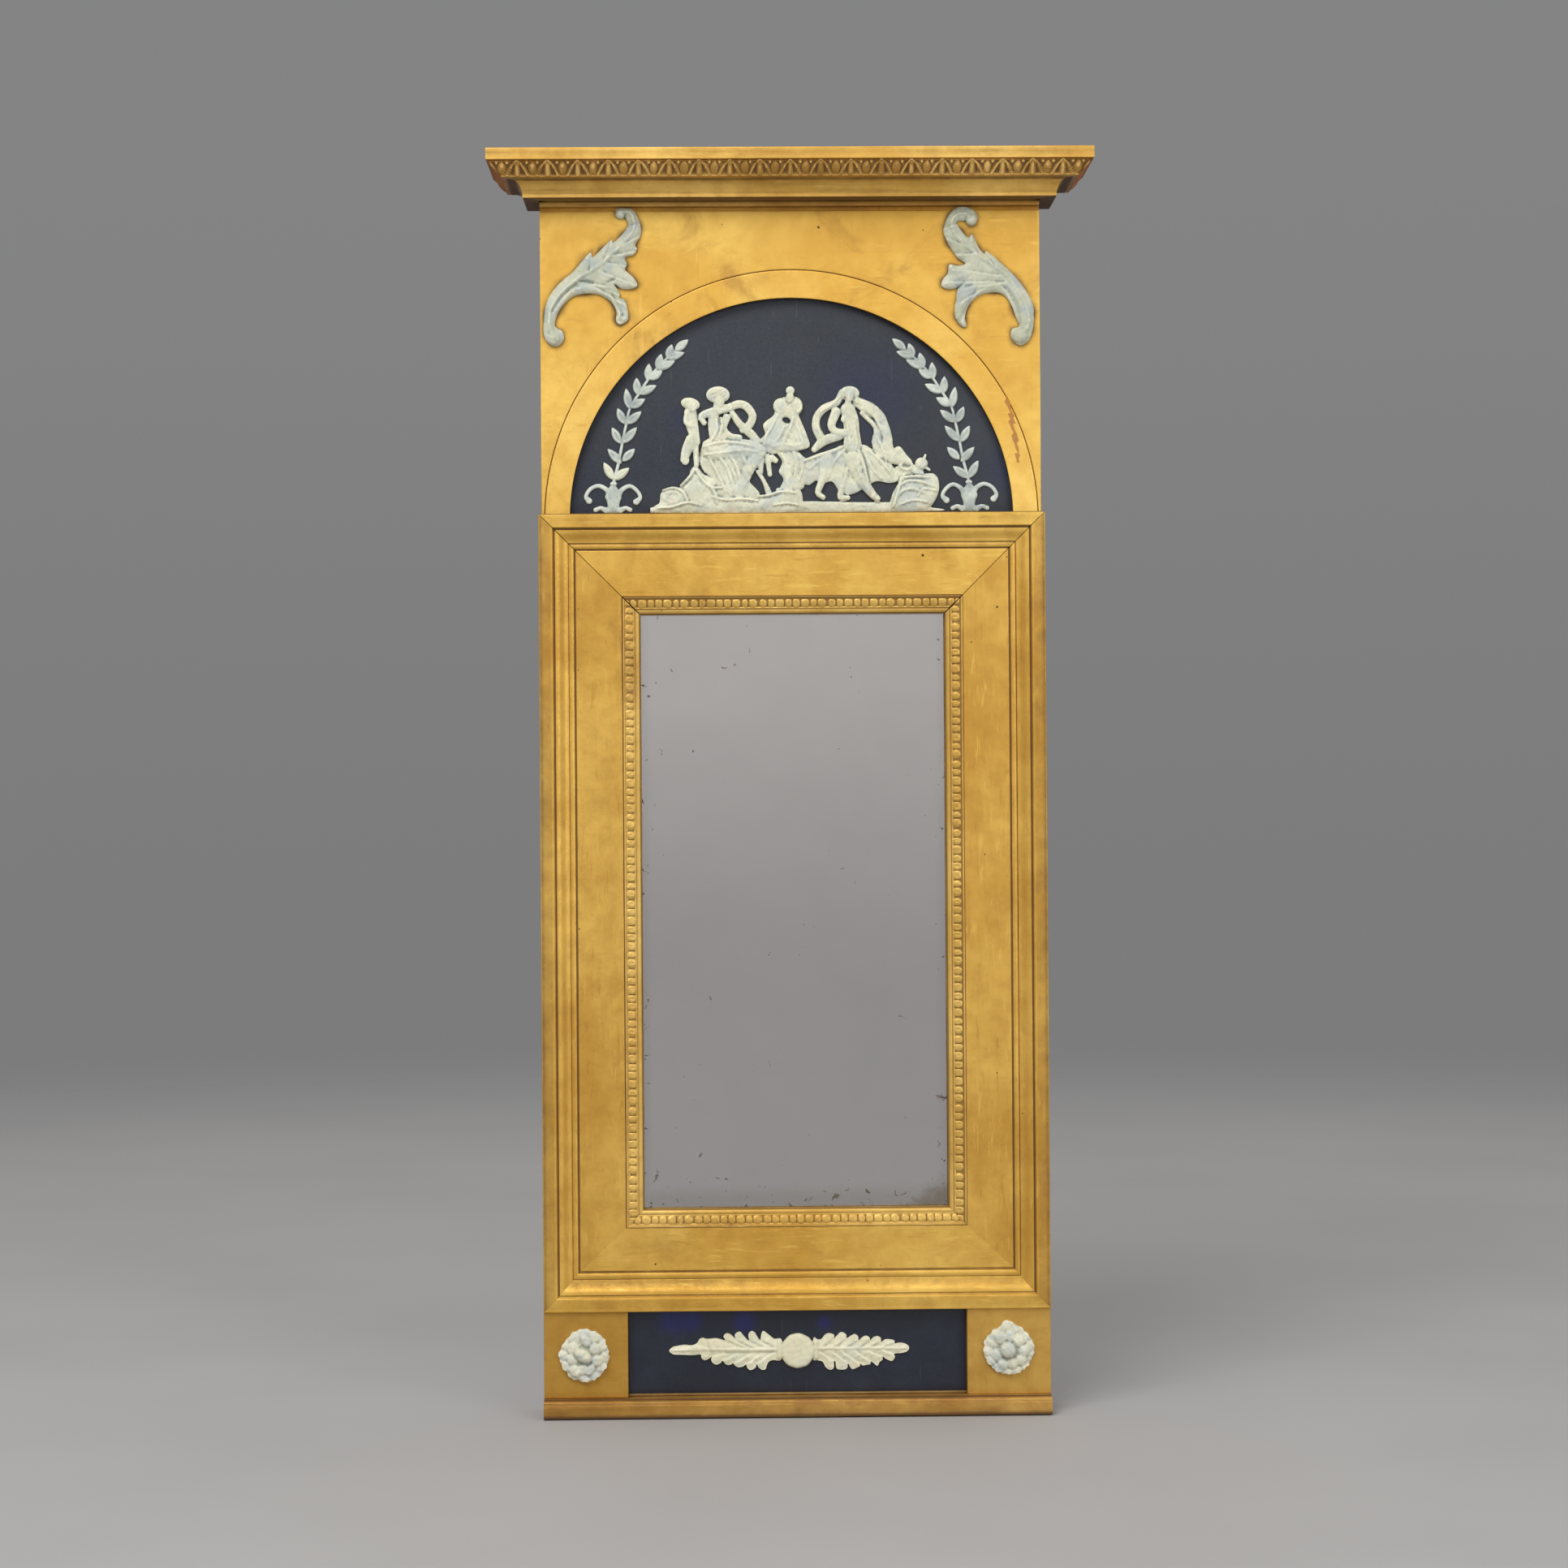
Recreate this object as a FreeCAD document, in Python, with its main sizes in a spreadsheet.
import FreeCAD, Part
import math
import os
import types

import Sketcher

# A gilded wall mirror with a cornice, an arched blue field, a mitred frame and a base between blocks.
# Millimetres. X runs to the right, the front faces -Y and +Z is up.
# The origin is the foot of the back, on the centre line, in the plane of the wall.
# Depths are counted forwards from the wall, so a depth of 24 lies at y = -24.

SIZES = (
    # Main levels, from the foot up
    ("base_height", 93.0),
    ("frame_height", 703.0),
    ("upper_margin", 52.0),
    # Main widths and depths
    ("front_width", 447.0),
    ("carcass_inset", 2.5),
    ("carcass_depth", 24.0),
    ("cut_overrun", 5.0),
    # Carcass
    ("stile_width", 50.0),
    ("middle_rail_rise", 34.0),
    ("lower_rail_drop", 23.0),
    ("rail_clearance", 5.0),
    ("bottom_rail_height", 40.0),
    ("tenon_length", 25.0),
    ("tenon_thickness", 8.0),
    ("tenon_shoulder", 10.0),
    ("mortise_gap", 1.0),
    # Backboards and their nails
    ("backboard_thickness", 6.0),
    ("backboard_gap", 0.5),
    ("backboard_lap", 15.0),
    ("rail_gap", 1.0),
    ("nail_radius", 1.1),
    ("nail_length", 17.0),
    ("nail_head_radius", 2.6),
    ("nail_head_thickness", 1.0),
    ("nail_margin", 8.0),
    # Blue and gilded fields above the glass
    ("tympanum_thickness", 10.0),
    ("upper_panel_thickness", 8.0),
    ("arch_centre_drop", 5.5),
    ("archivolt_width", 25.0),
    ("archivolt_thickness", 1.0),
    # Mitred frame, from its outer edge inwards
    ("frame_depth", 28.0),
    ("frame_fillet", 12.0),
    ("frame_quirk", 1.0),
    ("frame_quirk_depth", 1.5),
    ("ogee_width", 13.0),
    ("ogee_fall", 5.5),
    ("ogee_round", 8.0),
    ("frame_bead", 5.0),
    ("frieze_width", 41.0),
    ("frieze_drop", 7.5),
    ("lip_thickness", 3.0),
    ("strip_width", 16.0),
    ("rebate_width", 8.0),
    ("rebate_depth", 9.0),
    ("key_length", 44.0),
    ("key_width", 12.0),
    ("key_thickness", 4.0),
    # Sight strip on the frame's lip
    ("strip_depth", 10.0),
    ("strip_edge", 1.5),
    ("strip_leaf_width", 11.0),
    ("strip_leaf_fall", 2.0),
    ("strip_fillet_depth", 5.0),
    # Mirror plate and what holds it
    ("plate_clearance", 1.0),
    ("plate_thickness", 3.0),
    ("silvering_thickness", 0.3),
    ("mirror_board_thickness", 6.0),
    ("mirror_board_lap", 15.0),
    ("block_length", 24.0),
    ("block_seat", 7.0),
    # Base
    ("block_width", 74.0),
    ("block_depth", 24.0),
    ("base_panel_depth", 14.0),
    ("ledge_height", 3.5),
    ("ledge_depth", 17.0),
    ("plinth_height", 17.0),
    ("plinth_depth", 34.0),
    ("plinth_step", 1.5),
    ("plinth_step_height", 2.5),
    ("plinth_chamfer", 1.5),
    # Cornice, heights from its foot up and projections from the face of the body
    ("cornice_core_depth", 38.0),
    ("cornice_face_depth", 54.0),
    ("cornice_board_thickness", 6.0),
    ("neck_height", 6.5),
    ("neck_fillet_height", 2.5),
    ("neck_fillet_depth", 7.0),
    ("cove_foot", 11.0),
    ("cove_edge", 1.5),
    ("cove_height", 16.5),
    ("cove_reach", 27.0),
    ("cove_round", 15.0),
    ("leaf_band_height", 13.0),
    ("leaf_band_thickness", 4.0),
    ("leaf_band_round", 22.0),
    ("cornice_reach", 41.0),
    ("cornice_fillet_height", 10.5),
    # Ornament
    ("ornament_rise", 1.5),
    ("acanthus_relief", 7.0),
    ("acanthus_inset", 2.5),
    ("acanthus_drop", 2.5),
    ("spray_relief", 3.0),
    ("spray_foot_margin", 38.5),
    ("spray_foot_width", 49.0),
    ("spray_foot_height", 23.0),
    ("spray_bend_margin", 16.5),
    ("spray_tip_margin", 8.5),
    ("spray_stem_width", 2.4),
    ("spray_leaf_length", 18.0),
    ("spray_leaf_width", 6.4),
    ("figure_margin", 8.0),
    ("figure_height", 112.0),
    ("figure_ground", 3.0),
    ("figure_relief", 7.0),
    ("figure_cloth", 4.5),
    ("figure_shift", 5.0),
    ("rosette_radius", 19.6),
    ("rosette_edge", 3.0),
    ("rosette_petal", 2.5),
    ("rosette_boss", 6.5),
    ("palmette_margin", 43.5),
    ("palmette_height", 33.5),
    ("palmette_relief", 3.5),
    ("palmette_disc", 15.0),
    ("palmette_boss", 2.0),
    # Hanging ring and its plate, let into the top rail
    ("pocket_margin", 5.0),
    ("pocket_clearance", 3.0),
    ("pocket_depth", 8.0),
    ("ring_radius", 16.0),
    ("ring_wire", 2.0),
    ("ring_clearance", 0.6),
    ("staple_bar", 2.5),
    ("staple_width", 6.0),
    ("hanger_edge", 6.0),
    ("hanger_clearance", 2.0),
    ("hanger_thickness", 2.0),
    ("screw_gap", 3.2),
    ("screw_up", 9.0),
    ("screw_radius", 1.6),
    ("screw_clearance", 0.2),
    ("screw_length", 9.0),
    ("screw_head_radius", 2.8),
    ("screw_head_thickness", 1.2),
)
SHEET = "Sizes"
BACK_NAILS_ACROSS = 5
BLOCKS_PER_LONG_SIDE = 4
BLOCKS_PER_SHORT_SIDE = 2
SPRAY_LEAF_PAIRS = 9
ROSETTE_LOBES = 12
ROSETTE_PETALS = 8

# Outlines as shares of an ornament's width and height: across, up, and the bulge of the side that starts there,
# to the left of the way it runs.
ACANTHUS_SHARES = (
    (0.10, 0.00, 0.25), (0.02, 0.13, 0.10), (0.03, 0.30, 0.08), (0.21, 0.46, -0.06), (0.30, 0.58, 0.22),
    (0.41, 0.60, -0.10), (0.48, 0.70, 0.22), (0.60, 0.71, -0.10), (0.69, 0.79, 0.20), (0.80, 0.82, -0.20),
    (0.74, 0.95, 0.30), (0.86, 1.00, 0.25), (0.98, 0.90, 0.15), (0.99, 0.80, 0.12), (0.86, 0.62, -0.15),
    (0.96, 0.46, 0.45), (0.80, 0.43, -0.15), (0.86, 0.26, 0.20), (0.79, 0.16, 0.00), (0.72, 0.25, -0.10),
    (0.47, 0.38, -0.22), (0.16, 0.22, -0.12), (0.22, 0.09, 0.30),
)
SPRAY_FOOT_SHARES = (
    (-0.32, 0.00, 0.00), (0.32, 0.00, 0.20), (0.36, 0.22, -0.20), (0.50, 0.60, 0.45), (0.30, 0.90, -0.25),
    (0.10, 1.00, 0.30), (-0.10, 1.00, -0.25), (-0.30, 0.90, 0.45), (-0.50, 0.60, -0.20), (-0.36, 0.22, 0.20),
)
# The relief, read clockwise but for its ground: rocks, then each figure and cloth with its own relief.
GROUND_SHARES = (
    (-0.50, 0.00, 0.00), (0.46, 0.00, -0.20), (0.50, 0.21, -0.20), (0.48, 0.30, 0.00), (0.37, 0.31, 0.00),
    (0.34, 0.20, 0.10), (0.32, 0.09, 0.00), (0.17, 0.09, 0.00), (0.05, 0.12, 0.00), (-0.02, 0.17, 0.00),
    (-0.13, 0.12, 0.00), (-0.22, 0.21, 0.00), (-0.32, 0.28, 0.00), (-0.37, 0.33, 0.00), (-0.39, 0.25, 0.10),
    (-0.44, 0.18, -0.20), (-0.48, 0.10, -0.20),
)
SEATED_FIGURE_SHARES = (
    (-0.327, 0.77, 0.10), (-0.279, 0.81, 0.10), (-0.233, 0.79, 0.10), (-0.256, 0.69, -0.10),
    (-0.259, 0.62, 0.00), (-0.219, 0.57, 0.05), (-0.124, 0.55, 0.20), (-0.099, 0.48, 0.10),
    (-0.124, 0.39, -0.10), (-0.179, 0.35, -0.05), (-0.156, 0.23, 0.00), (-0.127, 0.12, 0.00),
    (-0.219, 0.12, 0.00), (-0.313, 0.30, 0.15), (-0.339, 0.40, 0.10), (-0.333, 0.51, 0.00),
    (-0.304, 0.60, 0.00), (-0.299, 0.68, -0.10),
)
CHILD_SHARES = (
    (-0.399, 0.76, 0.00), (-0.341, 0.76, 0.00), (-0.344, 0.61, 0.00), (-0.335, 0.48, 0.00),
    (-0.350, 0.36, 0.00), (-0.370, 0.46, 0.00), (-0.390, 0.40, 0.20), (-0.404, 0.44, 0.10),
    (-0.381, 0.54, -0.10), (-0.393, 0.65, 0.10),
)
MIDDLE_FIGURE_SHARES = (
    (-0.084, 0.83, 0.15), (-0.047, 0.89, 0.00), (-0.004, 0.89, 0.15), (0.019, 0.85, -0.10),
    (0.007, 0.77, 0.00), (0.024, 0.67, 0.00), (0.044, 0.53, 0.10), (0.007, 0.47, -0.10),
    (0.064, 0.44, 0.00), (0.076, 0.21, 0.00), (0.053, 0.12, 0.00), (-0.073, 0.16, 0.00),
    (-0.059, 0.34, 0.00), (-0.101, 0.44, 0.10), (-0.130, 0.56, 0.00), (-0.116, 0.69, -0.10),
    (-0.076, 0.76, 0.00),
)
STRIDING_FIGURE_SHARES = (
    (0.133, 0.79, 0.15), (0.167, 0.85, 0.00), (0.219, 0.83, 0.15), (0.241, 0.76, -0.05), (0.247, 0.55, 0.00),
    (0.304, 0.45, 0.10), (0.347, 0.26, 0.10), (0.287, 0.23, -0.10), (0.239, 0.21, 0.00), (0.270, 0.09, 0.00),
    (0.236, 0.09, 0.00), (0.199, 0.18, 0.00), (0.147, 0.15, 0.00), (0.130, 0.25, -0.10), (0.073, 0.25, 0.00),
    (0.061, 0.45, 0.10), (0.116, 0.47, 0.00), (0.159, 0.56, 0.00), (0.156, 0.64, 0.00), (0.116, 0.64, 0.10),
)
RIGHT_CLOTH_SHARES = (
    (0.213, 0.90, 0.10), (0.261, 0.86, 0.15), (0.307, 0.77, 0.15), (0.304, 0.71, 0.00), (0.330, 0.62, 0.10),
    (0.347, 0.57, 0.10), (0.336, 0.51, 0.00), (0.367, 0.50, 0.10), (0.390, 0.41, 0.00), (0.424, 0.41, 0.10),
    (0.461, 0.39, 0.10), (0.461, 0.31, 0.00), (0.373, 0.28, 0.00), (0.310, 0.39, 0.00), (0.267, 0.55, 0.00),
    (0.261, 0.67, 0.00), (0.230, 0.79, 0.00),
)
LEFT_CLOTH_SHARES = (
    (0.141, 0.87, -0.10), (0.084, 0.81, -0.15), (0.059, 0.70, -0.15), (0.081, 0.57, 0.00),
    (0.056, 0.46, 0.00), (0.087, 0.49, 0.00), (0.116, 0.57, 0.20), (0.084, 0.70, 0.15),
    (0.104, 0.79, 0.10), (0.141, 0.81, 0.00),
)
FIGURE_SHARES = (SEATED_FIGURE_SHARES, CHILD_SHARES, MIDDLE_FIGURE_SHARES, STRIDING_FIGURE_SHARES)
CLOTH_SHARES = (RIGHT_CLOTH_SHARES, LEFT_CLOTH_SHARES)
# Heads and the loop of cloth: across as a share of the width, then height and radius as shares of the height.
HEAD_SHARES = (
    (-0.273, 0.90, 0.077), (-0.370, 0.83, 0.064), (-0.026, 0.93, 0.048), (0.190, 0.92, 0.070),
)
LOOP_SHARES = (-0.193, 0.74, 0.108)
LOOP_INSIDE_SHARE = 0.52
# The hollows between the lobes of a palmette, from its collar to its tip.
PALMETTE_HOLLOW_SHARES = (
    (0.075, 0.26), (0.156, 0.30), (0.215, 0.29), (0.268, 0.26), (0.315, 0.23), (0.367, 0.19), (0.43, 0.12),
)
LOBE_BULGE_SHARE = 0.38
ROSETTE_PETAL_SHARE = 0.66
ROSETTE_BULGE_SHARE = 0.42
SPRAY_LEAF_BULGE_SHARE = 0.18
SPRAY_LEAF_ANGLE_DEGREES = 24.0
SPRAY_START_SHARE = 0.9
SPRAY_BEND_DEGREES = 39.8
SPRAY_TIP_DEGREES = 60.3
ACANTHUS_WIDTH_SHARE = 0.676
ACANTHUS_HEIGHT_SHARE = 0.891
BEAD_ROUND_SHARE = 0.56
MITRE_DEGREES = 45


class Size:
    """A length together with the sheet expression that gives it."""

    def __init__(self, value, text):
        self.value = value
        self.text = text

    def __add__(self, other):
        other = as_size(other)
        return Size(self.value + other.value, f"({self.text} + {other.text})")

    def __radd__(self, other):
        return as_size(other) + self

    def __sub__(self, other):
        other = as_size(other)
        return Size(self.value - other.value, f"({self.text} - {other.text})")

    def __rsub__(self, other):
        return as_size(other) - self

    def __mul__(self, share):
        return Size(self.value * share, f"({self.text} * {share})")

    __rmul__ = __mul__

    def __truediv__(self, share):
        return Size(self.value / share, f"({self.text} / {share})")

    def __neg__(self):
        return Size(-self.value, f"(-{self.text})")


def as_size(value):
    """Let a plain zero stand in a sum of sizes."""
    return value if isinstance(value, Size) else Size(value, repr(value))


doc = FreeCAD.newDocument("mirror")
sheet = doc.addObject("Spreadsheet::Sheet", SHEET)
for row, (alias, value) in enumerate(SIZES, start=1):
    sheet.set(f"A{row}", alias)
    sheet.set(f"B{row}", str(value))
    sheet.setAlias(f"B{row}", alias)
doc.recompute()
dim = types.SimpleNamespace(**{alias: Size(float(sheet.get(alias)), f"{SHEET}.{alias}") for alias, _ in SIZES})
ZERO = Size(0, "0")
nodes = []


# Helpers for placing and for flat outlines

def vector(across, depth, up):
    """A point from its place across, its depth from the wall and its height."""
    return FreeCAD.Vector(across, -depth, up)


def place(item, across, depth, up, turn=None):
    """Bind an object's place to the sheet; turn is its rotation, if it has one."""
    if turn is not None:
        item.Placement = FreeCAD.Placement(FreeCAD.Vector(), turn)
    item.setExpression("Placement.Base.x", as_size(across).text)
    item.setExpression("Placement.Base.y", (-as_size(depth)).text)
    item.setExpression("Placement.Base.z", as_size(up).text)
    return item


def keep(item, label):
    """Name an object as a finished piece."""
    item.Label = label
    nodes.append(item)
    return item


def box(name, left, right, back, front, low, high):
    """A block between six faces; back and front are depths from the wall."""
    block = doc.addObject("Part::Box", name)
    block.setExpression("Length", (right - left).text)
    block.setExpression("Width", (front - back).text)
    block.setExpression("Height", (high - low).text)
    return place(block, left, front, low)


def board(label, *faces):
    """A block that is a piece of its own."""
    return keep(box(label, *faces), label)


def cut(label, base, tool):
    """Take a tool away from a base and keep what is left as a piece."""
    result = doc.addObject("Part::Cut", f"{label}_cut")
    result.Base = base
    result.Tool = tool
    return keep(result, label)


def joined(kind, name, shapes):
    """Fuse or gather several objects into one."""
    result = doc.addObject(kind, name)
    if kind == "Part::MultiFuse":
        result.Shapes = shapes
    else:
        result.Links = shapes
    return result


def new_body(name):
    """A PartDesign body and its origin planes by their role."""
    body = doc.addObject("PartDesign::Body", name)
    planes = {plane.Role: plane for plane in body.Origin.OriginFeatures}
    return body, planes


def sketch_outlines(body, plane, name, outlines):
    """Draw closed outlines with every corner bound to the sheet.

    A corner is (x, y) or (x, y, radius, side): the side that starts there is then an arc that bulges to the
    right of the way it runs for side 1, and to the left for side -1.
    """
    sketch = body.newObject("Sketcher::SketchObject", name)
    sketch.AttachmentSupport = [(plane, "")]
    sketch.MapMode = "FlatFace"
    for outline in outlines:
        add_outline(sketch, outline)
    return sketch


def add_outline(sketch, outline):
    """Add one closed outline to a sketch."""
    spots = [FreeCAD.Vector(corner[0].value, corner[1].value, 0) for corner in outline]
    sides = []
    for index, corner in enumerate(outline):
        start = spots[index]
        end = spots[(index + 1) % len(spots)]
        if len(corner) == 2:
            line = Part.LineSegment(start, end)
        else:
            line = Part.Arc(start, arc_middle(start, end, corner[2].value, corner[3]), end)
        sides.append(sketch.addGeometry(line, False))
    ends = []
    for index, side in enumerate(sides):
        first_is_start = sketch.getPoint(side, 1).distanceToPoint(spots[index]) < sketch.getPoint(
            side, 2
        ).distanceToPoint(spots[index])
        ends.append((1, 2) if first_is_start else (2, 1))
    for index, side in enumerate(sides):
        after = (index + 1) % len(sides)
        joint = Sketcher.Constraint("Coincident", side, ends[index][1], sides[after], ends[after][0])
        sketch.addConstraint(joint)
        for kind, size in (("DistanceX", outline[index][0]), ("DistanceY", outline[index][1])):
            number = sketch.addConstraint(Sketcher.Constraint(kind, -1, 1, side, ends[index][0], size.value))
            sketch.setExpression(f"Constraints[{number}]", size.text)
        if len(outline[index]) == 4:
            radius = outline[index][2]
            number = sketch.addConstraint(Sketcher.Constraint("Radius", side, radius.value))
            sketch.setExpression(f"Constraints[{number}]", radius.text)


def arc_middle(start, end, radius, side):
    """The middle of the arc of a radius between two points."""
    chord = end - start
    rightwards = FreeCAD.Vector(chord.y, -chord.x, 0) / chord.Length
    rise = radius - math.sqrt(radius**2 - (chord.Length / 2) ** 2)
    return (start + end) / 2 + rightwards * (rise * side)


def pad(body, sketch, length, both_ways=True):
    """Extrude a sketch, both ways from its plane or only along its normal."""
    feature = body.newObject("PartDesign::Pad", f"{body.Name}_pad")
    feature.Profile = sketch
    feature.SideType = "Symmetric" if both_ways else "One side"
    feature.setExpression("Length", length.text)
    body.Tip = feature
    return feature


def pocket_through(body, sketch):
    """Cut a sketch right through a body, both ways."""
    feature = body.newObject("PartDesign::Pocket", f"{body.Name}_pocket")
    feature.Profile = sketch
    feature.Type = "ThroughAll"
    feature.SideType = "Symmetric"
    body.Tip = feature
    return feature


def profiled(name, profile, length, cut_plane, ends):
    """A moulding that runs along local X, with its ends cut to outlines in another origin plane."""
    body, planes = new_body(name)
    pad(body, sketch_outlines(body, planes["YZ_Plane"], f"{name}_profile", [profile]), length)
    pocket_through(body, sketch_outlines(body, planes[cut_plane], f"{name}_ends", ends))
    return body


def flat_piece(label, plane_name, outline, thickness, across, depth, up):
    """A plate of one thickness, drawn in an origin plane and centred on it."""
    body, planes = new_body(label)
    pad(body, sketch_outlines(body, planes[plane_name], f"{label}_outline", [outline]), thickness)
    return keep(place(body, across, depth, up), label)


# Levels, widths and depths that several pieces share

half_front = dim.front_width / 2
half_carcass = half_front - dim.carcass_inset
half_bay = half_carcass - dim.stile_width
frame_foot = dim.base_height
frame_top = frame_foot + dim.frame_height
arch_centre = frame_top - dim.arch_centre_drop
arch_radius = half_carcass - dim.archivolt_width
cornice_foot = arch_centre + half_carcass + dim.upper_margin
cove_top = dim.neck_height + dim.cove_height
band_top = cove_top + dim.leaf_band_height
cornice_height = band_top + dim.cornice_fillet_height
mirror_top = cornice_foot + cornice_height
frame_width = (
    dim.frame_fillet + dim.frame_quirk + dim.ogee_width + dim.frame_bead + dim.frame_quirk + dim.frieze_width
    + dim.strip_width
)
strip_start = frame_width - dim.strip_width
half_sight = half_front - frame_width
tympanum_face = dim.carcass_depth + dim.tympanum_thickness
panel_face = tympanum_face + dim.upper_panel_thickness
rebate_start = frame_width - dim.rebate_width
lip_depth = dim.rebate_depth + dim.lip_thickness
plate_half = half_sight + dim.rebate_width - dim.plate_clearance
plate_foot = frame_foot + rebate_start + dim.plate_clearance
plate_top = frame_top - rebate_start - dim.plate_clearance
mirror_board_foot = plate_foot - dim.mirror_board_lap
mirror_board_top = plate_top + dim.mirror_board_lap


# Carcass: stiles with mortises, rails with tenons

def rail(label, low, high, back, pocket=None):
    """A rail between the stiles, with one tenon run through it; returns its mortises' tool."""
    front = dim.carcass_depth
    middle = (back + front) / 2
    half_tenon = dim.tenon_thickness / 2
    tenon_end = half_bay + dim.tenon_length
    body = box(f"{label}_body", -half_bay, half_bay, back, front, low, high)
    tenon_faces = (middle - half_tenon, middle + half_tenon, low + dim.tenon_shoulder, high - dim.tenon_shoulder)
    tenon = box(f"{label}_tenons", -tenon_end, tenon_end, *tenon_faces)
    whole = joined("Part::MultiFuse", f"{label}_whole", [body, tenon])
    if pocket is None:
        keep(whole, label)
    else:
        cut(label, whole, pocket)
    mortise_end = tenon_end + dim.mortise_gap
    return box(f"{label}_mortises", -mortise_end, mortise_end, *tenon_faces)


screw_across = dim.ring_radius + dim.ring_wire + dim.screw_head_radius + dim.screw_gap
hanger_half = screw_across + dim.hanger_edge
pocket_half = hanger_half + dim.hanger_clearance
ring_reach = dim.ring_radius * 2 + dim.ring_wire + dim.pocket_clearance
ring_axis_up = cornice_foot - dim.pocket_margin - ring_reach
rail_back = dim.backboard_thickness
upper_board_top = ring_axis_up - ring_reach - dim.rail_gap
top_rail_foot = upper_board_top - dim.backboard_lap
middle_rail_top = frame_top + dim.middle_rail_rise
middle_rail_foot = mirror_board_top + dim.rail_clearance
lower_rail_foot = frame_foot - dim.lower_rail_drop
lower_rail_top = mirror_board_foot - dim.rail_clearance
pocket_floor = rail_back + dim.pocket_depth
pocket = box(
    "ring_pocket", -pocket_half, pocket_half, ZERO, pocket_floor, ring_axis_up - ring_reach,
    ring_axis_up + ring_reach,
)
mortises = joined("Part::MultiFuse", "mortises", [
    rail("carcass_top_rail", top_rail_foot, cornice_foot, rail_back, pocket),
    rail("carcass_middle_rail", middle_rail_foot, middle_rail_top, rail_back),
    rail("carcass_lower_rail", lower_rail_foot, lower_rail_top, rail_back),
    rail("carcass_bottom_rail", ZERO, dim.bottom_rail_height, ZERO),
])
for side_name, left, right in (("left", -half_carcass, -half_bay), ("right", half_bay, half_carcass)):
    stile = box(f"{side_name}_stile_blank", left, right, ZERO, dim.carcass_depth, ZERO, cornice_foot)
    cut(f"carcass_{side_name}_stile", stile, mortises)


# Backboards between the stiles, nailed on the rails

board_half = half_bay - dim.backboard_gap
board_joint = (middle_rail_foot + middle_rail_top) / 2
lower_board_foot = dim.bottom_rail_height + dim.backboard_gap
board("backboard_lower", -board_half, board_half, ZERO, dim.backboard_thickness, lower_board_foot, board_joint)
board(
    "backboard_upper", -board_half, board_half, ZERO, dim.backboard_thickness,
    board_joint + dim.backboard_gap, upper_board_top,
)


def pin_shapes(spots, depth, radius, length, head_radius, head_thickness):
    """Nails or screws driven forwards from the back, each with its head behind the given depth."""
    forwards = FreeCAD.Vector(0, -1, 0)
    shapes = []
    for across, up in spots:
        shank = Part.makeCylinder(radius.value, length.value, vector(across, depth.value, up), forwards)
        head_depth = depth.value - head_thickness.value
        head = Part.makeCylinder(
            head_radius.value, head_thickness.value, vector(across, head_depth, up), forwards
        )
        shapes.append(shank.fuse(head).removeSplitter())
    return shapes


def feature(label, shape):
    """A piece whose shape is made here, from sizes read off the sheet."""
    item = doc.addObject("Part::Feature", label)
    item.Shape = shape
    item.Placement = FreeCAD.Placement()
    return keep(item, label)


nail_rows = (
    lower_rail_foot + dim.nail_margin,
    board_joint - dim.nail_margin,
    board_joint + dim.nail_margin,
    upper_board_top - dim.nail_margin,
)
nail_reach = board_half.value - dim.nail_margin.value
nail_spots = [
    (nail_reach * (2 * column / (BACK_NAILS_ACROSS - 1) - 1), row.value)
    for row in nail_rows
    for column in range(BACK_NAILS_ACROSS)
]
feature("back_nails", Part.makeCompound(pin_shapes(
    nail_spots, dim.nail_head_thickness, dim.nail_radius, dim.nail_length, dim.nail_head_radius,
    dim.nail_head_thickness,
)))


# Blue tympanum, gilded panel with its arch, archivolt

board("tympanum_panel", -half_carcass, half_carcass, dim.carcass_depth, tympanum_face, frame_top, cornice_foot)


def arch_spring(radius):
    """How far from the centre line an arc round the arch's centre meets the top of the frame."""
    return Size(
        math.sqrt(radius.value**2 - dim.arch_centre_drop.value**2),
        f"sqrt({radius.text}^2 - {dim.arch_centre_drop.text}^2)",
    )


opening_half = arch_spring(arch_radius)
arch_top = arch_radius - dim.arch_centre_drop
upper_height = cornice_foot - frame_top
flat_piece(
    "upper_panel", "XZ_Plane",
    [
        (-half_carcass, ZERO), (-opening_half, ZERO, arch_radius, -1), (ZERO, arch_top, arch_radius, -1),
        (opening_half, ZERO), (half_carcass, ZERO), (half_carcass, upper_height), (-half_carcass, upper_height),
    ],
    dim.upper_panel_thickness, ZERO, panel_face - dim.upper_panel_thickness / 2, frame_top,
)
outer_half = arch_spring(half_carcass)
outer_top = half_carcass - dim.arch_centre_drop
flat_piece(
    "archivolt", "XZ_Plane",
    [
        (-outer_half, ZERO), (-opening_half, ZERO, arch_radius, -1), (ZERO, arch_top, arch_radius, -1),
        (opening_half, ZERO), (outer_half, ZERO, half_carcass, 1), (ZERO, outer_top, half_carcass, 1),
    ],
    dim.archivolt_thickness, ZERO, panel_face + dim.archivolt_thickness / 2, frame_top,
)


# Mitred frame with sight strips, and the keys let into its corners

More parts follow.
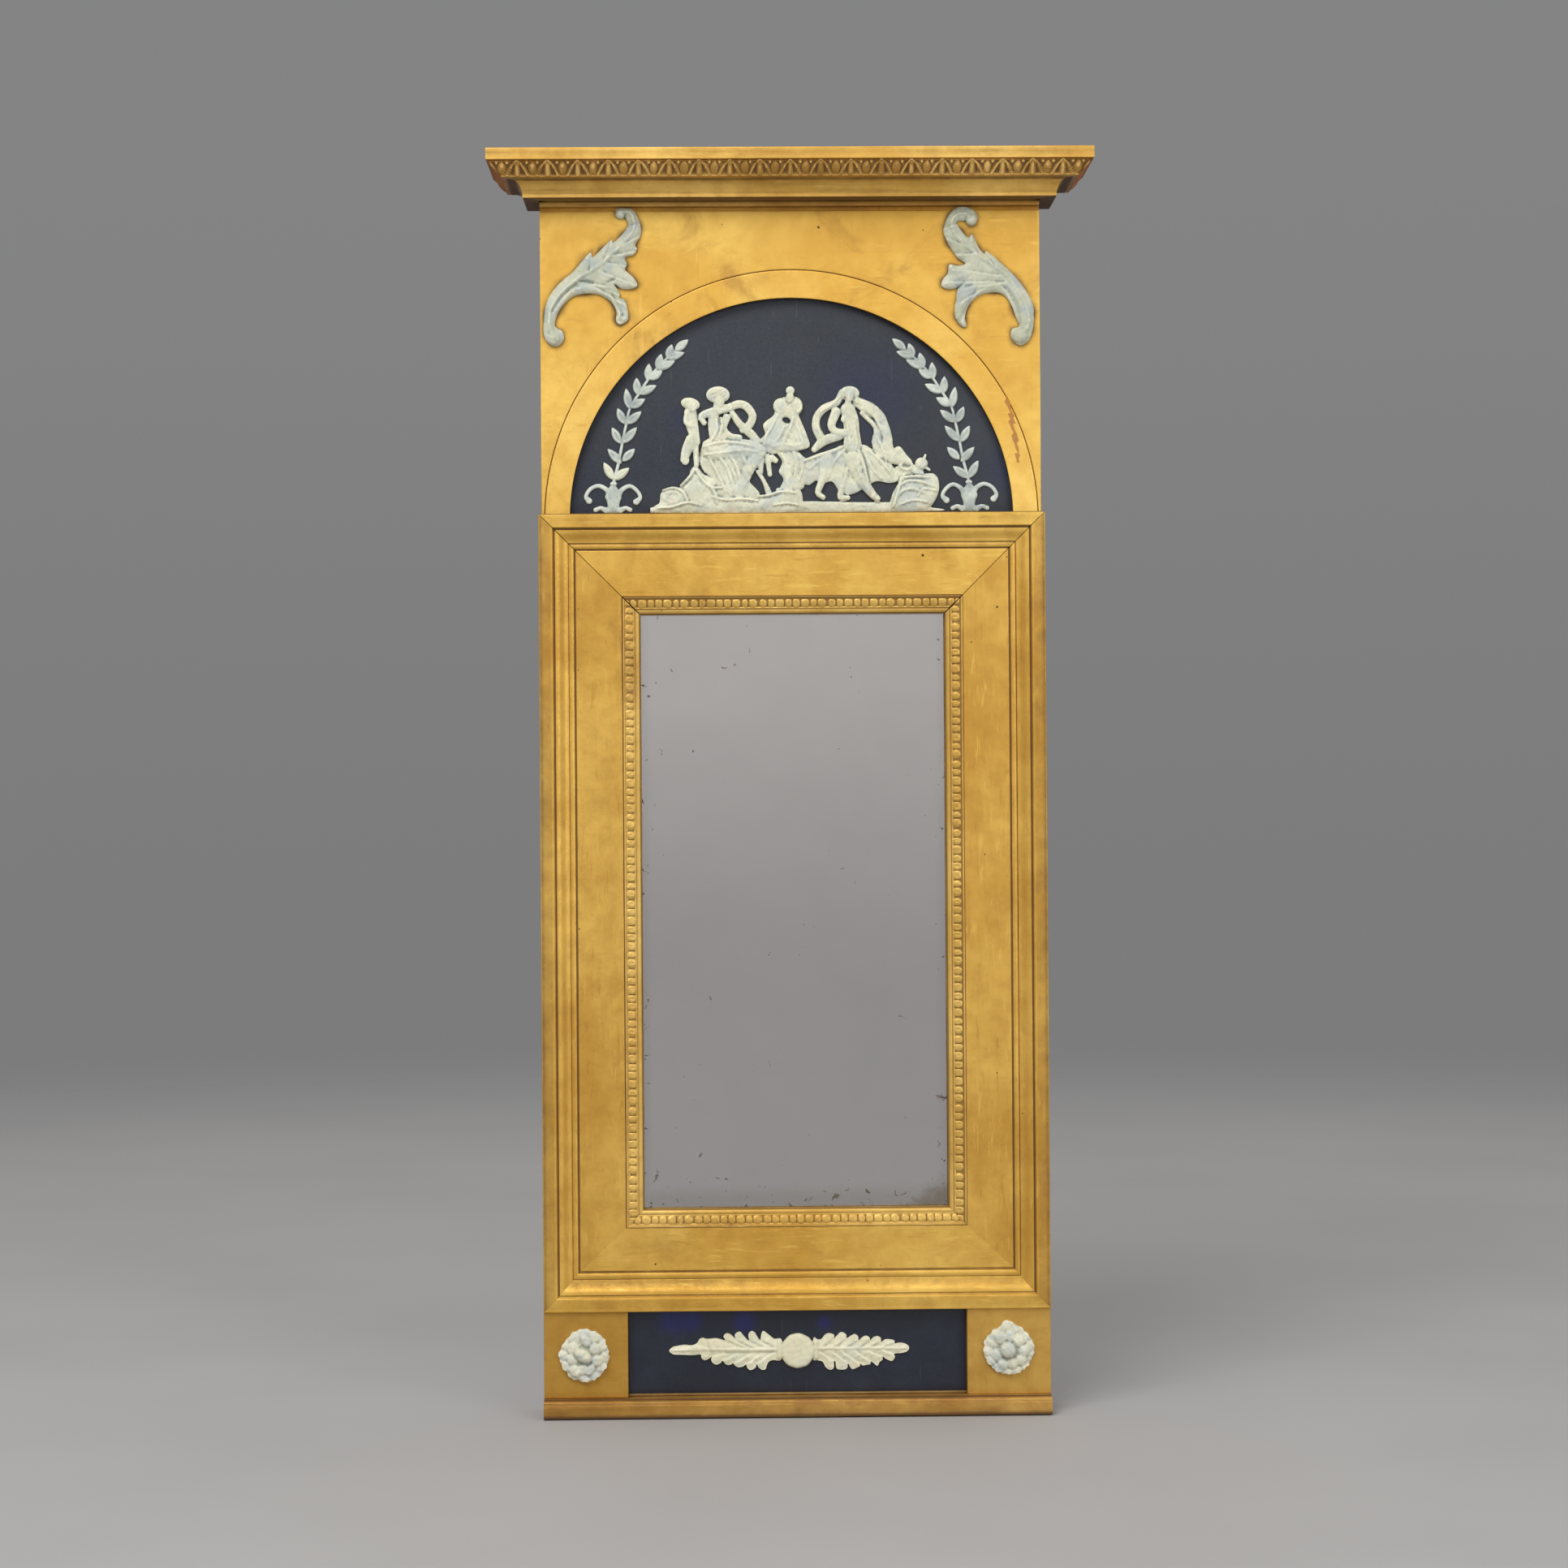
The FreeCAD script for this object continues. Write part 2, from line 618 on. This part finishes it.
quirk_start = dim.frame_fillet
ogee_start = quirk_start + dim.frame_quirk
ogee_end = ogee_start + dim.ogee_width
bead_end = ogee_end + dim.frame_bead
frieze_start = bead_end + dim.frame_quirk
ogee_top = dim.frame_depth - dim.frame_quirk_depth
ogee_middle = (ogee_start + ogee_end) / 2
ogee_half_fall = ogee_top - dim.ogee_fall / 2
bead_seat = ogee_top - dim.ogee_fall
bead_round = dim.frame_bead * BEAD_ROUND_SHARE
frieze_depth = dim.frame_depth - dim.frieze_drop
quirk_floor = frieze_depth - dim.frame_quirk
frame_profile = [
    (ZERO, ZERO), (-dim.frame_depth, ZERO), (-dim.frame_depth, -quirk_start), (-ogee_top, -quirk_start),
    (-ogee_top, -ogee_start, dim.ogee_round, 1), (-ogee_half_fall, -ogee_middle, dim.ogee_round, -1),
    (-bead_seat, -ogee_end, bead_round, 1), (-bead_seat, -bead_end), (-quirk_floor, -bead_end),
    (-quirk_floor, -frieze_start), (-frieze_depth, -frieze_start), (-frieze_depth, -strip_start),
    (-lip_depth, -strip_start), (-lip_depth, -frame_width), (-dim.rebate_depth, -frame_width),
    (-dim.rebate_depth, -rebate_start), (ZERO, -rebate_start),
]
leaf_end = dim.strip_leaf_width + dim.strip_edge
strip_profile = [
    (ZERO, ZERO), (-dim.strip_depth, ZERO), (-dim.strip_depth, -dim.strip_edge),
    (-(dim.strip_depth - dim.strip_leaf_fall), -leaf_end), (-dim.strip_fillet_depth, -leaf_end),
    (-dim.strip_fillet_depth, -dim.strip_width), (ZERO, -dim.strip_width),
]


def mitre_cuts(length, width):
    """The two corners that a mitred member loses, as seen from the front."""
    end = length / 2
    over = dim.cut_overrun
    right = [(end + over, over), (end + over, -(width + over)), (end - width - over, -(width + over))]
    left = [(-(end + over), over), (-(end - width - over), -(width + over)), (-(end + over), -(width + over))]
    return [right, left]


def ring_of_members(prefix, profile, width, half_across, low, high, back):
    """Four mitred members round an opening; their outer edges lie at the given places."""
    across_axis = FreeCAD.Vector(0, 1, 0)
    middle = (low + high) / 2
    members = {}
    for name, length, across, up, turn in (
        ("top", half_across * 2, ZERO, high, 0),
        ("right", high - low, half_across, middle, 90),
        ("bottom", half_across * 2, ZERO, low, 180),
        ("left", high - low, -half_across, middle, 270),
    ):
        label = f"{prefix}_{name}"
        member = profiled(f"{label}_moulding", profile, length, "XZ_Plane", mitre_cuts(length, width))
        members[label] = place(member, across, back, up, FreeCAD.Rotation(across_axis, turn))
    return members


frame_members = ring_of_members(
    "frame", frame_profile, frame_width, half_front, frame_foot, frame_top, dim.carcass_depth
)
keys = []
key_inset = frame_width / 2
for name, side_across, side_up in (("a", -1, 1), ("b", 1, 1), ("c", -1, -1), ("d", 1, -1)):
    key = doc.addObject("Part::Box", f"key_{name}")
    key.setExpression("Length", dim.key_length.text)
    key.setExpression("Width", dim.key_thickness.text)
    key.setExpression("Height", dim.key_width.text)
    lean = side_across * side_up
    turn = FreeCAD.Rotation(FreeCAD.Vector(0, 1, 0), MITRE_DEGREES * lean)
    centre_across = (half_front - key_inset) * side_across
    centre_up = frame_top - key_inset if side_up > 0 else frame_foot + key_inset
    slant = (dim.key_length / 2) * math.cos(math.radians(MITRE_DEGREES))
    rise = (dim.key_width / 2) * math.sin(math.radians(MITRE_DEGREES))
    corner_across = centre_across - slant - rise * lean
    corner_up = centre_up + slant * lean - rise
    keys.append(place(key, corner_across, dim.carcass_depth + dim.key_thickness, corner_up, turn))
corner_keys = keep(joined("Part::Compound", "corner_key_group", keys), "corner_keys")
for label, member in frame_members.items():
    cut(label, member, corner_keys)
strip_members = ring_of_members(
    "sight_strip", strip_profile, dim.strip_width, half_front - strip_start, frame_foot + strip_start,
    frame_top - strip_start, dim.carcass_depth + lip_depth,
)
for label, member in strip_members.items():
    keep(member, label)


# Mirror plate in the rebate, silvering, blocks and board behind it

plate_front = dim.carcass_depth + dim.rebate_depth
plate_back = plate_front - dim.plate_thickness
silver_back = plate_back - dim.silvering_thickness
board("mirror_plate", -plate_half, plate_half, plate_back, plate_front, plate_foot, plate_top)
board("silvering", -plate_half, plate_half, silver_back, plate_back, plate_foot, plate_top)
mirror_board_half = plate_half + dim.mirror_board_lap
board(
    "mirror_backboard", -mirror_board_half, mirror_board_half, dim.carcass_depth - dim.mirror_board_thickness,
    dim.carcass_depth, mirror_board_foot, mirror_board_top,
)


def glazing_blocks():
    """Small blocks on the back of the silvering, round the edge of the plate."""
    depth = silver_back.value - dim.carcass_depth.value
    seat, length = dim.block_seat.value, dim.block_length.value
    half, low, high = plate_half.value, plate_foot.value, plate_top.value
    shapes = []
    for number in range(BLOCKS_PER_LONG_SIDE):
        up = low + (high - low) * (number + 0.5) / BLOCKS_PER_LONG_SIDE - length / 2
        for left in (-half, half - seat):
            shapes.append(Part.makeBox(seat, depth, length, vector(left, silver_back.value, up)))
    for number in range(BLOCKS_PER_SHORT_SIDE):
        left = half * (2 * (number + 0.5) / BLOCKS_PER_SHORT_SIDE - 1) - length / 2
        for up in (low, high - seat):
            shapes.append(Part.makeBox(length, depth, seat, vector(left, silver_back.value, up)))
    return Part.makeCompound(shapes)


feature("glazing_blocks", glazing_blocks())


# Base: blocks, blue panel, ledge and plinth

block_face = dim.carcass_depth + dim.block_depth
panel_half = half_front - dim.block_width
for side_name, left, right in (("left", -half_front, -panel_half), ("right", panel_half, half_front)):
    board(f"base_block_{side_name}", left, right, dim.carcass_depth, block_face, dim.plinth_height, frame_foot)
ledge_top = dim.plinth_height + dim.ledge_height
base_panel_face = dim.carcass_depth + dim.base_panel_depth
board("base_panel", -panel_half, panel_half, dim.carcass_depth, base_panel_face, ledge_top, frame_foot)
board(
    "base_ledge", -panel_half, panel_half, dim.carcass_depth, dim.carcass_depth + dim.ledge_depth,
    dim.plinth_height, ledge_top,
)
plinth_shoulder = dim.plinth_height - dim.plinth_chamfer - dim.plinth_step_height
plinth_top_front = dim.plinth_depth - dim.plinth_step
flat_piece(
    "plinth_moulding", "YZ_Plane",
    [
        (ZERO, ZERO), (ZERO, dim.plinth_height), (-(plinth_top_front - dim.plinth_chamfer), dim.plinth_height),
        (-plinth_top_front, dim.plinth_height - dim.plinth_chamfer), (-plinth_top_front, plinth_shoulder),
        (-dim.plinth_depth, plinth_shoulder), (-dim.plinth_depth, ZERO),
    ],
    dim.front_width, ZERO, dim.carcass_depth, ZERO,
)


# Cornice: core, top board, mitred mouldings, leaf bands and the neck fillet under them

board(
    "cornice_core", -half_carcass, half_carcass, ZERO, dim.cornice_core_depth, cornice_foot,
    mirror_top - dim.cornice_board_thickness,
)
board(
    "cornice_top_board", -half_carcass, half_carcass, ZERO, dim.cornice_core_depth,
    mirror_top - dim.cornice_board_thickness, mirror_top,
)
neck_top = cornice_foot + dim.neck_height
board(
    "cornice_neck_fillet", -half_carcass, half_carcass, dim.cornice_core_depth,
    dim.cornice_core_depth + dim.neck_fillet_depth, neck_top - dim.neck_fillet_height, neck_top,
)
cornice_setback = dim.cornice_face_depth - dim.cornice_core_depth
return_setback = dim.carcass_inset
band_slope = dim.leaf_band_thickness
band_foot_reach = dim.cove_reach + dim.cove_edge
cornice_face = [
    (-dim.cove_foot, dim.neck_height), (-dim.cove_foot, dim.neck_height + dim.cove_edge, dim.cove_round, -1),
    (-dim.cove_reach, cove_top), (-(band_foot_reach - band_slope), cove_top),
    (-(dim.cornice_reach - band_slope), band_top), (-dim.cornice_reach, band_top),
    (-dim.cornice_reach, cornice_height),
]
front_profile = [(cornice_setback, dim.neck_height)] + cornice_face + [(cornice_setback, cornice_height)]
side_foot = dim.cove_foot - dim.neck_height
return_profile = (
    [(return_setback, ZERO), (-side_foot, ZERO, dim.neck_height, 1)]
    + cornice_face
    + [(return_setback, cornice_height)]
)
band_profile = [
    (-(band_foot_reach - band_slope), cove_top), (-band_foot_reach, cove_top, dim.leaf_band_round, 1),
    (-(dim.cornice_reach - dim.cove_edge), band_top), (-(dim.cornice_reach - band_slope), band_top),
]


def outer_mitre(end, side):
    """What a cornice member loses at a mitred end, seen from above; beyond the core it ends square."""
    reach = dim.cornice_reach
    over = dim.cut_overrun
    inner = end - reach - return_setback
    spots = [
        (end + over, -(reach + over)), (end + over, cornice_setback + over), (inner, cornice_setback + over),
        (inner, return_setback),
    ]
    ordered = spots if side > 0 else list(reversed(spots))
    return [(across * side, depth) for across, depth in ordered]


half_run = half_front + dim.cornice_reach
return_run = dim.cornice_face_depth + dim.cornice_reach
upright = FreeCAD.Vector(0, 0, 1)
cornice_parts = (("", front_profile, return_profile), ("leaf_", band_profile, band_profile))
for part_name, front_shape, side_shape in cornice_parts:
    front_label = f"cornice_{part_name}front"
    both_ends = [outer_mitre(half_run, 1), outer_mitre(half_run, -1)]
    front = profiled(f"{front_label}_run", front_shape, half_run * 2, "XY_Plane", both_ends)
    keep(place(front, ZERO, dim.cornice_face_depth, cornice_foot), front_label)
    for side_name, side, turn in (("left", 1, -90), ("right", -1, 90)):
        label = f"cornice_{part_name}{side_name}_return"
        one_end = [outer_mitre(return_run / 2, side)]
        member = profiled(f"{label}_run", side_shape, return_run, "XY_Plane", one_end)
        turned = FreeCAD.Rotation(upright, turn)
        keep(place(member, half_front * -side, return_run / 2, cornice_foot, turned), label)


# Flat ornament outlines

def bulged_face(spots):
    """A flat face in the plane of the wall from (across, up, bulge share) corners."""
    edges = []
    for index, (across, up, bulge) in enumerate(spots):
        next_across, next_up, _ = spots[(index + 1) % len(spots)]
        start, end = vector(across, 0, up), vector(next_across, 0, next_up)
        if bulge == 0:
            edges.append(Part.makeLine(start, end))
            continue
        chord = end - start
        outwards = FreeCAD.Vector(-chord.z, 0, chord.x)
        edges.append(Part.Arc(start, (start + end) / 2 + outwards * bulge, end).toShape())
    return Part.Face(Part.Wire(edges))


def raised(spots, relief):
    """An outline that stands out from the wall plane by its relief."""
    return bulged_face(spots).extrude(vector(0, relief, 0))


def scaled(shares, width, height, side=1):
    """Corners from shares of a width and a height; side -1 mirrors them."""
    return [(across * width * side, up * height, bulge * side) for across, up, bulge in shares]


def ornament(label, shape, across, depth, up):
    """A composition piece laid on its ground."""
    piece = feature(label, shape)
    piece.Placement = FreeCAD.Placement(vector(across.value, depth.value, up.value), FreeCAD.Rotation())
    return piece


def lobed_face_spots(radius, lobes):
    """Corners of a round outline of equal lobes."""
    spots = []
    for number in range(lobes):
        angle = 2 * math.pi * number / lobes
        spots.append((radius * math.cos(angle), radius * math.sin(angle), -ROSETTE_BULGE_SHARE))
    return spots


# Ornament of the arch and its spandrels

corner_up = cornice_foot - arch_centre
corner_reach = Size(
    math.hypot(half_carcass.value, corner_up.value) - half_carcass.value,
    f"(sqrt({half_carcass.text}^2 + {corner_up.text}^2) - {half_carcass.text})",
)
acanthus_width = corner_reach * ACANTHUS_WIDTH_SHARE
acanthus_height = corner_reach * ACANTHUS_HEIGHT_SHARE
for side_name, side in (("left", 1), ("right", -1)):
    acanthus = raised(
        scaled(ACANTHUS_SHARES, acanthus_width.value, acanthus_height.value, side), dim.acanthus_relief.value
    )
    ornament(
        f"acanthus_{side_name}", acanthus, (half_carcass - dim.acanthus_inset) * -side, panel_face,
        cornice_foot - acanthus_height - dim.acanthus_drop,
    )
ornament_foot = frame_top + dim.ornament_rise
spray_foot_across = arch_radius - dim.spray_foot_margin
figure_width = (spray_foot_across - dim.spray_foot_width / 2 - dim.figure_margin) * 2


def leaf(across, up, angle, length, width, relief):
    """A pointed leaf that starts at a point and lies at an angle."""
    end = (across + length * math.cos(angle), up + length * math.sin(angle))
    bulge = SPRAY_LEAF_BULGE_SHARE * (width / length) / (dim.spray_leaf_width.value / dim.spray_leaf_length.value)
    return raised([(across, up, bulge), (end[0], end[1], bulge)], relief)


def laurel_spray(side):
    """A stem of paired leaves that rises from a scrolled foot and bends over the figures."""
    relief = dim.spray_relief.value
    foot_top = dim.spray_foot_height.value
    start = vector(0, 0, foot_top * SPRAY_START_SHARE)
    bend, tip = (
        vector(
            (spray_foot_across.value - radius * math.cos(math.radians(degrees))) * side, 0,
            radius * math.sin(math.radians(degrees)) + (arch_centre - ornament_foot).value,
        )
        for radius, degrees in (
            ((arch_radius - dim.spray_bend_margin).value, SPRAY_BEND_DEGREES),
            ((arch_radius - dim.spray_tip_margin).value, SPRAY_TIP_DEGREES),
        )
    )
    circle = Part.Circle(start, bend, tip)
    half_stem = dim.spray_stem_width.value / 2
    across_leaf = math.radians(SPRAY_LEAF_ANGLE_DEGREES)
    foot = raised(scaled(SPRAY_FOOT_SHARES, dim.spray_foot_width.value, foot_top), relief)
    centre = circle.Center
    stem_edges = []
    for radius in (circle.Radius - half_stem, circle.Radius + half_stem):
        stem_edges.append([centre + (spot - centre).normalize() * radius for spot in (start, bend, tip)])
    inner, outer = stem_edges
    stem_wire = Part.Wire([
        Part.Arc(*inner).toShape(), Part.makeLine(inner[2], outer[2]),
        Part.Arc(*reversed(outer)).toShape(), Part.makeLine(outer[0], inner[0]),
    ])
    pieces = [Part.Face(stem_wire).extrude(vector(0, relief, 0))]
    edge = Part.Arc(start, bend, tip).toShape()
    for number in range(SPRAY_LEAF_PAIRS):
        run = edge.LastParameter - edge.FirstParameter
        along = edge.FirstParameter + run * (number + 0.5) / SPRAY_LEAF_PAIRS
        spot = edge.valueAt(along)
        tangent = edge.tangentAt(along)
        if tangent.z < 0:
            tangent = -tangent
        heading = math.atan2(tangent.z, tangent.x)
        for turn in (across_leaf, -across_leaf):
            pieces.append(leaf(
                spot.x, spot.z, heading + turn, dim.spray_leaf_length.value, dim.spray_leaf_width.value, relief
            ))
    return foot.multiFuse(pieces).removeSplitter()


for side_name, side in (("left", 1), ("right", -1)):
    ornament(
        f"laurel_spray_{side_name}", laurel_spray(side), spray_foot_across * -side, tympanum_face,
        ornament_foot,
    )


def disc_at(shares, relief, radius_share=1):
    """A round disc of the relief, from its place and radius as shares."""
    width, height = figure_width.value, dim.figure_height.value
    across, up, radius = shares
    return Part.makeCylinder(
        radius * height * radius_share, relief, vector(across * width, 0, up * height), vector(0, 1, 0)
    )


def figure_relief():
    """A seated and a middle figure, a child and a striding figure with blown cloth, on rocky ground."""
    width, height = figure_width.value, dim.figure_height.value
    figure, cloth = dim.figure_relief.value, dim.figure_cloth.value
    pieces = [raised(scaled(shares, width, height), figure) for shares in FIGURE_SHARES]
    pieces += [raised(scaled(shares, width, height), cloth) for shares in CLOTH_SHARES]
    pieces += [disc_at(shares, figure) for shares in HEAD_SHARES]
    pieces.append(disc_at(LOOP_SHARES, cloth).cut(disc_at(LOOP_SHARES, cloth, LOOP_INSIDE_SHARE)))
    ground = raised(scaled(GROUND_SHARES, width, height), dim.figure_ground.value)
    return ground.multiFuse(pieces).removeSplitter()


ornament("figure_relief", figure_relief(), dim.figure_shift, tympanum_face, ornament_foot)


# Ornament of the base

def rosette():
    """A scalloped disc, a ring of petals and a boss."""
    edge = dim.rosette_edge.value
    petals_top = edge + dim.rosette_petal.value
    disc = raised(lobed_face_spots(dim.rosette_radius.value, ROSETTE_LOBES), edge)
    petals = raised(
        lobed_face_spots(dim.rosette_radius.value * ROSETTE_PETAL_SHARE, ROSETTE_PETALS), petals_top
    )
    boss = Part.makeSphere(
        dim.rosette_boss.value, vector(0, petals_top, 0), vector(0, 1, 0), 0, 90, 360
    )
    return disc.multiFuse([petals, boss]).removeSplitter()


for side_name, side in (("left", -1), ("right", 1)):
    ornament(
        f"rosette_{side_name}", rosette(), (half_front + panel_half) / 2 * side, block_face,
        (dim.plinth_height + frame_foot) / 2,
    )


def palmette_bar():
    """Two lobed palmettes, end to end, with a disc between them."""
    width, height = ((panel_half - dim.palmette_margin) * 2).value, dim.palmette_height.value
    hollows = [(u * width, v * height) for u, v in PALMETTE_HOLLOW_SHARES]
    right = hollows + [(width / 2, 0)] + [(across, -up) for across, up in reversed(hollows)]
    spots = []
    for turn in (1, -1):
        spots += [(across * turn, up * turn, LOBE_BULGE_SHARE) for across, up in right[:-1]]
        spots.append((right[-1][0] * turn, right[-1][1] * turn, 0))
    bar = raised(spots, dim.palmette_relief.value)
    relief = dim.palmette_relief.value + dim.palmette_boss.value
    disc = Part.makeCylinder(dim.palmette_disc.value, relief, FreeCAD.Vector(), vector(0, 1, 0))
    return bar.fuse(disc).removeSplitter()


ornament("palmette_bar", palmette_bar(), ZERO, base_panel_face, (ledge_top + frame_foot) / 2)


# Hanging plate, staple, screws and the ring that swings in the staple

hanger_face = pocket_floor - dim.hanger_thickness
wire_depth = hanger_face - dim.ring_clearance - dim.ring_wire
hanger_blank = box(
    "hanger_blank", -hanger_half, hanger_half, hanger_face, pocket_floor,
    ring_axis_up - dim.screw_up - dim.hanger_edge, ring_axis_up + dim.screw_up + dim.hanger_edge,
)
screw_spots = [(side * screw_across, lift * dim.screw_up) for side in (-1, 1) for lift in (-1, 1)]
screw_holes = []
for number, (across, rise) in enumerate(screw_spots):
    hole = doc.addObject("Part::Cylinder", f"screw_hole_{number}")
    hole.setExpression("Radius", (dim.screw_radius + dim.screw_clearance).text)
    hole.setExpression("Height", (dim.hanger_thickness + dim.cut_overrun * 2).text)
    level = FreeCAD.Rotation(FreeCAD.Vector(1, 0, 0), 90)
    screw_holes.append(place(hole, across, hanger_face - dim.cut_overrun, ring_axis_up + rise, level))
cut("hanger_plate", hanger_blank, joined("Part::MultiFuse", "screw_holes", screw_holes))
feature("hanger_screws", Part.makeCompound(pin_shapes(
    [(across.value, (ring_axis_up + rise).value) for across, rise in screw_spots],
    hanger_face, dim.screw_radius, dim.screw_length, dim.screw_head_radius, dim.screw_head_thickness,
)))
staple_inner = dim.ring_wire + dim.ring_clearance
staple_outer = staple_inner + dim.staple_bar
staple_leg = hanger_face - wire_depth
flat_piece(
    "hanger_staple", "YZ_Plane",
    [
        (-staple_leg, -staple_outer), (ZERO, -staple_outer, staple_outer, 1),
        (staple_outer, ZERO, staple_outer, 1),
        (ZERO, staple_outer), (-staple_leg, staple_outer), (-staple_leg, staple_inner),
        (ZERO, staple_inner, staple_inner, -1), (staple_inner, ZERO, staple_inner, -1), (ZERO, -staple_inner),
        (-staple_leg, -staple_inner),
    ],
    dim.staple_width, ZERO, wire_depth, ring_axis_up,
)
ring = doc.addObject("Part::Torus", "ring")
ring.setExpression("Radius1", dim.ring_radius.text)
ring.setExpression("Radius2", dim.ring_wire.text)
facing = FreeCAD.Rotation(FreeCAD.Vector(1, 0, 0), 90)
keep(place(ring, ZERO, wire_depth, ring_axis_up - dim.ring_radius, facing), "hanger_ring")


# Check every object, then write each piece

doc.recompute()
faults = [item.Label for item in doc.Objects if "Invalid" in item.State or "Error" in item.State]
faults += [item.Label for item in nodes if item.Shape.isNull() or not item.Shape.isValid()]
if faults:
    raise RuntimeError(f"these objects failed: {faults}")
os.makedirs("parts", exist_ok=True)
for item in nodes:
    item.Shape.exportStep(f"parts/{item.Label}.step")
print(f"{len(nodes)} pieces written")
